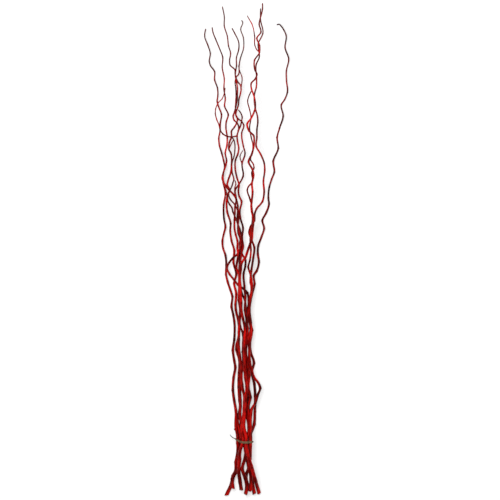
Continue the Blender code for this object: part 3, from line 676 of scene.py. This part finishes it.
def bark_material(name, deep, bright, tip, tip_start):
    """Dyed bark: long streaks, small pale pores, dark scars, stretches of painted shade and a worn tip."""
    graph = Graph(name)
    bark = graph.attribute("bark", "Vector")
    tone = graph.attribute("tone")
    scar = graph.attribute("scar")
    broad = graph.noise(graph.stretched(bark, (1.0, 1.0, 0.22)), 110.0, 4.0)
    streaks = graph.noise(graph.stretched(bark, (1.0, 1.0, 0.07)), 1500.0, 5.0, 0.65)
    fine = graph.noise(graph.stretched(bark, (1.0, 1.0, 0.5)), 2600.0)
    pores = graph.node("ShaderNodeTexVoronoi", {
        "Vector": graph.stretched(bark, (1.0, 1.0, 0.45)), "Scale": 420.0, "Randomness": 1.0})
    pore = graph.ramp(pores.outputs["Distance"], 0.11, 0.19, 1.0, 0.0)
    dark = tuple(STREAK_SHADE * part for part in deep)
    pale = (min(1.0, bright[0] * 1.35 + 0.05), bright[1] * 3 + 0.03, bright[2] * 3 + 0.02)
    colour = graph.mix(graph.ramp(broad, 0.38, 0.62), deep, bright)
    colour = graph.mix(graph.ramp(streaks, 0.50, 0.72, 0.0, 0.7), colour, dark)
    colour = graph.mix(graph.math("MULTIPLY", pore, 0.55), colour, pale)
    # The scar mask darkens the bark: real leaf scars and collars, and the painted shade of the dark
    # stretches
    colour = graph.mix(graph.math("MULTIPLY", scar, 0.5), colour, dark)
    colour = graph.mix(graph.ramp(tone, 0.02, 0.26, 0.25, 0.0), colour, deep)
    colour = graph.mix(graph.ramp(tone, tip_start, 1.0, 0.0, 0.9), colour, tip)
    graph.shade(Base_Color=colour, Roughness=graph.ramp(broad, 0.3, 0.7, 0.30, 0.48),
                Specular_IOR_Level=BARK_GLOSS, Specular_Tint=BARK_GLOSS_TINT)
    relief = graph.math("ADD", graph.math("MULTIPLY", streaks, 0.9), graph.math("MULTIPLY", fine, 0.35))
    relief = graph.math("ADD", relief, graph.math("MULTIPLY", pore, 0.6))
    graph.bump(relief, 0.45, 0.00035)
    return graph.material


def cut_material():
    """The cut end's wood: rings round a darker pith, tinted by the dye."""
    graph = Graph("cut_wood")
    flat = graph.stretched(graph.attribute("bark", "Vector"), (1.0, 1.0, 0.0))
    wave = graph.node("ShaderNodeTexWave", {"Vector": flat, "Scale": 260.0, "Distortion": 1.2,
                                            "Detail": 2.0}, wave_type="RINGS", rings_direction="SPHERICAL")
    rough = graph.noise(flat, 1400.0, 4.0)
    distance = graph.node("ShaderNodeVectorMath", {0: flat}, operation="LENGTH").outputs["Value"]
    colour = graph.mix(graph.ramp(wave.outputs["Fac"], 0.25, 0.85), *WOOD_RINGS)
    colour = graph.mix(graph.ramp(rough, 0.4, 0.7, 0.0, 0.5), colour, WOOD_SPECK)
    colour = graph.mix(graph.ramp(distance, *PITH_EDGE, 1.0, 0.0), colour, WOOD_PITH)
    colour = graph.mix(graph.ramp(distance, *RIM_EDGE, 0.0, 0.8), colour, WOOD_RIM)
    graph.shade(Base_Color=colour, Roughness=graph.ramp(rough, 0.3, 0.7, 0.6, 0.85),
                Specular_IOR_Level=WOOD_GLOSS)
    graph.bump(rough, 0.5, 0.0004)
    return graph.material


def tie_material():
    """Dry twisted fibre: pale and olive patches with brown gaps, dark at its end."""
    graph = Graph("tie_fibre")
    bark = graph.attribute("bark", "Vector")
    fibres = graph.noise(graph.stretched(bark, (1.0, 1.0, 0.05)), 2600.0, 4.0, 0.7)
    patches = graph.noise(bark, 160.0, 2.0)
    colour = graph.mix(graph.ramp(patches, 0.38, 0.62), *FIBRE_PATCHES)
    colour = graph.mix(graph.ramp(fibres, 0.45, 0.7, 0.0, 0.8), colour, FIBRE_GAP)
    colour = graph.mix(graph.ramp(graph.attribute("tone"), 0.5, 0.9, 0.0, 0.85), colour, FIBRE_END)
    graph.shade(Base_Color=colour, Roughness=graph.ramp(fibres, 0.3, 0.7, 0.6, 0.85),
                Specular_IOR_Level=FIBRE_GLOSS)
    graph.bump(fibres, 0.6, 0.0005)
    return graph.material


def hold_off(skin, made):
    """Presses bark back where a bud or a smoothed bend would reach a twig made before."""
    for tree in made:
        for block in skin.places:
            for place in block:
                near, normal, _, _ = tree.find_nearest(place, HOLD_REACH)
                if near is None:
                    continue
                gap = (Vector(place) - near).dot(normal)
                if gap < HOLD_OFF:
                    place += np.array(normal) * (HOLD_OFF - gap)
    made.append(BVHTree.FromPolygons(np.vstack(skin.places).tolist(), skin.faces))


def make_twig(name, number, wood, made):
    """A fine twig with its shoots, in the place of its CAD node."""
    rng = random.Random(TWIG_SEED + number)
    radii, route = TWIGS[name]
    points = node_points(name)
    knots = with_heights(route, points)
    skin = Skin()
    skin.add_tube(sweep(knots, radii, rng, SIDES, True, PAINTED_SHADE_STRETCHES[name]), True)
    for twig, root, shoot_radii, shoot_route in SHOOTS:
        if twig != name:
            continue
        across, height = (np.interp(root, knots[:, 1], knots[:, axis]) for axis in (0, 2))
        shoot_knots = np.vstack([[across, root, height], with_heights(shoot_route, points)])
        skin.add_tube(sweep(shoot_knots, shoot_radii, rng, SHOOT_SIDES, False), False)
    hold_off(skin, made)
    piece = skin.build("fine_" + name, [bark_material("bark_" + name, *BARK[name]), wood])
    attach(piece, "root")
    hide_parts(name)
    return knots, radii


def stem_circles(stems):
    """Centres and radii of the stems in the stretch that the tie spans."""
    circles = []
    for knots, radii in stems:
        radius = tapered(radii, lengths_along(knots[:, :2]))
        for along in (TIE_ALONG - TIE_REACH, TIE_ALONG, TIE_ALONG + TIE_REACH):
            circles.append([np.interp(along, knots[:, 1], values)
                            for values in (knots[:, 0], knots[:, 2], radius)])
    return np.array(circles)


def tie_outline(circles):
    """Even points round the stems, across and in height, and the way out there."""
    corners = []
    for angle in full_turn(TIE_ANGLES):
        way = np.array((math.cos(angle), math.sin(angle)))
        widest = circles[np.argmax(circles[:, :2] @ way + circles[:, 2])]
        corners.append(widest[:2] + widest[2] * way)
    corners = np.array(corners + corners[:1])
    length = lengths_along(corners)
    at = np.linspace(0, length[-1], TIE_RINGS, endpoint=False)
    line = np.column_stack([np.interp(at, length, corners[:, axis]) for axis in (0, 1)])
    along = np.roll(line, -1, axis=0) - np.roll(line, 1, axis=0)
    out = np.column_stack([along[:, 1], -along[:, 0]])
    return line, out / np.linalg.norm(out, axis=1)[:, None]


def tie_height_along(across):
    """How far along the bundle the tie lies: it sags between its two sides."""
    away = across - TIE_LOW_ACROSS
    return TIE_LOW + np.where(away < 0, TIE_SAG[0], TIE_SAG[1]) * away ** 2


def tie_ply(line, out, number, rng):
    """One ply round the stems, flattened, wavering a little beside the others."""
    share = full_turn(TIE_RINGS)
    phase = rng.uniform(0, 2 * math.pi)
    shift = (number - (PLIES - 1) / 2) * PLY_APART + PLY_SWAY * np.sin(2 * share + phase)
    lift = TIE_OFF + PLY_WAVER * np.sin(3 * share + 2.3 * phase)
    angle = full_turn(PLY_SIDES)[None, :]
    grain = 1 + PLY_GRAIN * np.sin(3 * angle + 9 * share[:, None] + phase)
    outwards = lift[:, None] + PLY_SIZE[1] * np.sin(angle) * grain
    across = line[:, 0, None] + out[:, 0, None] * outwards
    height = line[:, 1, None] + out[:, 1, None] * outwards
    along = (tie_height_along(line[:, 0]) + shift)[:, None] + PLY_SIZE[0] * np.cos(angle) * grain
    return np.stack([across, along, height], axis=-1)


def knot_loop(place):
    """A small overhand knot: a tube along a trefoil curve."""
    turn = full_turn(KNOT_RINGS)
    reach = KNOT_SCALE * (2 + np.cos(3 * turn))
    path = np.column_stack([place[0] + KNOT_SCALE * np.sin(3 * turn),
                            place[1] + reach * np.cos(2 * turn),
                            place[2] + reach * np.sin(2 * turn)])
    tangent = np.roll(path, -1, axis=0) - np.roll(path, 1, axis=0)
    tangent /= np.linalg.norm(tangent, axis=1)[:, None]
    side = np.cross(tangent, path - place)
    side /= np.linalg.norm(side, axis=1)[:, None]
    radius = np.full((KNOT_RINGS, 1), KNOT_RADIUS)
    return rings_round(path, side, np.cross(tangent, side), full_turn(PLY_SIDES)[None, :], radius)


def free_end(start, phase):
    """One of the two plies of the free end, wound round the end's own line."""
    bends = [start + (across, along, TIE_END_DROP * across) for across, along in TIE_END]
    path, length = smooth_path(np.array([start] + bends))
    fine = np.linspace(0, length[-1], END_RINGS)
    path = np.column_stack([np.interp(fine, length, path[:, axis]) for axis in range(3)])
    share = fine / length[-1]
    turn = (2 * math.pi * END_TURNS * share + phase)[:, None]
    _, side, up = frames_along(path)
    path = path + END_HELIX * (side * np.cos(turn) + up * np.sin(turn))
    tangent, side, up = frames_along(path)
    angle = full_turn(PLY_SIDES)[None, :]
    share = share[:, None]
    radius = END_RADIUS * (1 - END_TAPER * share) * (1 + END_GRAIN * np.sin(3 * angle + 30 * share))
    places = rings_round(path, side, up, angle, radius)
    bark = np.stack([radius * np.cos(angle), radius * np.sin(angle), fine[:, None] + 0 * angle], axis=-1)
    tone = np.broadcast_to(END_TONE + (1 - END_TONE) * share, radius.shape)
    return places, bark, tone, np.zeros(radius.shape), tangent[0]


def make_tie(stems):
    """The tie's plies, its knot at the right and its twisted end at the left."""
    rng = random.Random(TIE_SEED)
    line, out = tie_outline(stem_circles(stems))
    skin = Skin()
    for number in range(PLIES):
        skin.add_loop(tie_ply(line, out, number, rng), PLY_TONE * number)
    right, left = line[np.argmax(line[:, 0])], line[np.argmin(line[:, 0])]
    knot = np.array((right[0] + TIE_THICK + KNOT_OUT, tie_height_along(right[0]), right[1]))
    skin.add_loop(knot_loop(knot), KNOT_TONE)
    start = np.array((left[0] - TIE_OFF, tie_height_along(left[0]), left[1]))
    for phase in (0.0, math.pi):
        skin.add_tube(free_end(start, phase), False)
    piece = skin.build("fine_tie", [tie_material()])
    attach(piece, "root")
    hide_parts("tie")


def make_floor():
    """A plain pale floor just under the bundle."""
    bpy.ops.mesh.primitive_plane_add(size=FLOOR_SIZE, location=(0.0, 0.0, -FLOOR_DROP))
    floor = bpy.context.object
    floor.name = "floor"
    graph = Graph("pale_floor")
    graph.shade(Base_Color=(FLOOR_GREY,) * 3, Roughness=0.9,
                Emission_Color=(1.0, 1.0, 1.0), Emission_Strength=FLOOR_GLOW)
    floor.data.materials.append(graph.material)


def area_light(name, place, size, power):
    """A square soft lamp that points at the model's origin."""
    light = bpy.data.lights.new(name, "AREA")
    light.shape = "SQUARE"
    light.size = size
    light.energy = power
    lamp = bpy.data.objects.new(name, light)
    lamp.location = place
    lamp.rotation_euler = (-Vector(place)).to_track_quat("-Z", "Y").to_euler()
    bpy.context.scene.collection.objects.link(lamp)


def make_light():
    """A large soft light overhead, a weak one from the side and a dim studio."""
    world = bpy.data.worlds.new("studio")
    world.use_nodes = True
    background = world.node_tree.nodes["Background"]
    background.inputs["Color"].default_value = (1.0, 1.0, 1.0, 1.0)
    background.inputs["Strength"].default_value = STUDIO_LIGHT
    bpy.context.scene.world = world
    bpy.context.scene.view_settings.view_transform = "Standard"
    for name, settings in LAMPS.items():
        area_light(name, *settings)


def make_camera():
    """The photo's straight view of the bundle, which here is from above."""
    data = bpy.data.cameras.new("camera")
    data.lens = LENS
    data.sensor_width = SENSOR
    data.clip_end = VIEW_REACH
    camera = bpy.data.objects.new("camera", data)
    away = VIEW_WIDTH * LENS / SENSOR
    camera.location = (VIEW_MIDDLE[0] - MIDDLE[0] * MM, VIEW_MIDDLE[1] - MIDDLE[1] * MM, VIEW_LEVEL + away)
    bpy.context.scene.collection.objects.link(camera)
    bpy.context.scene.camera = camera


def main():
    wood = cut_material()
    made = []
    stems = [make_twig(name, number, wood, made) for number, name in enumerate(TWIGS)]
    make_tie(stems)
    make_floor()
    make_light()
    make_camera()


main()
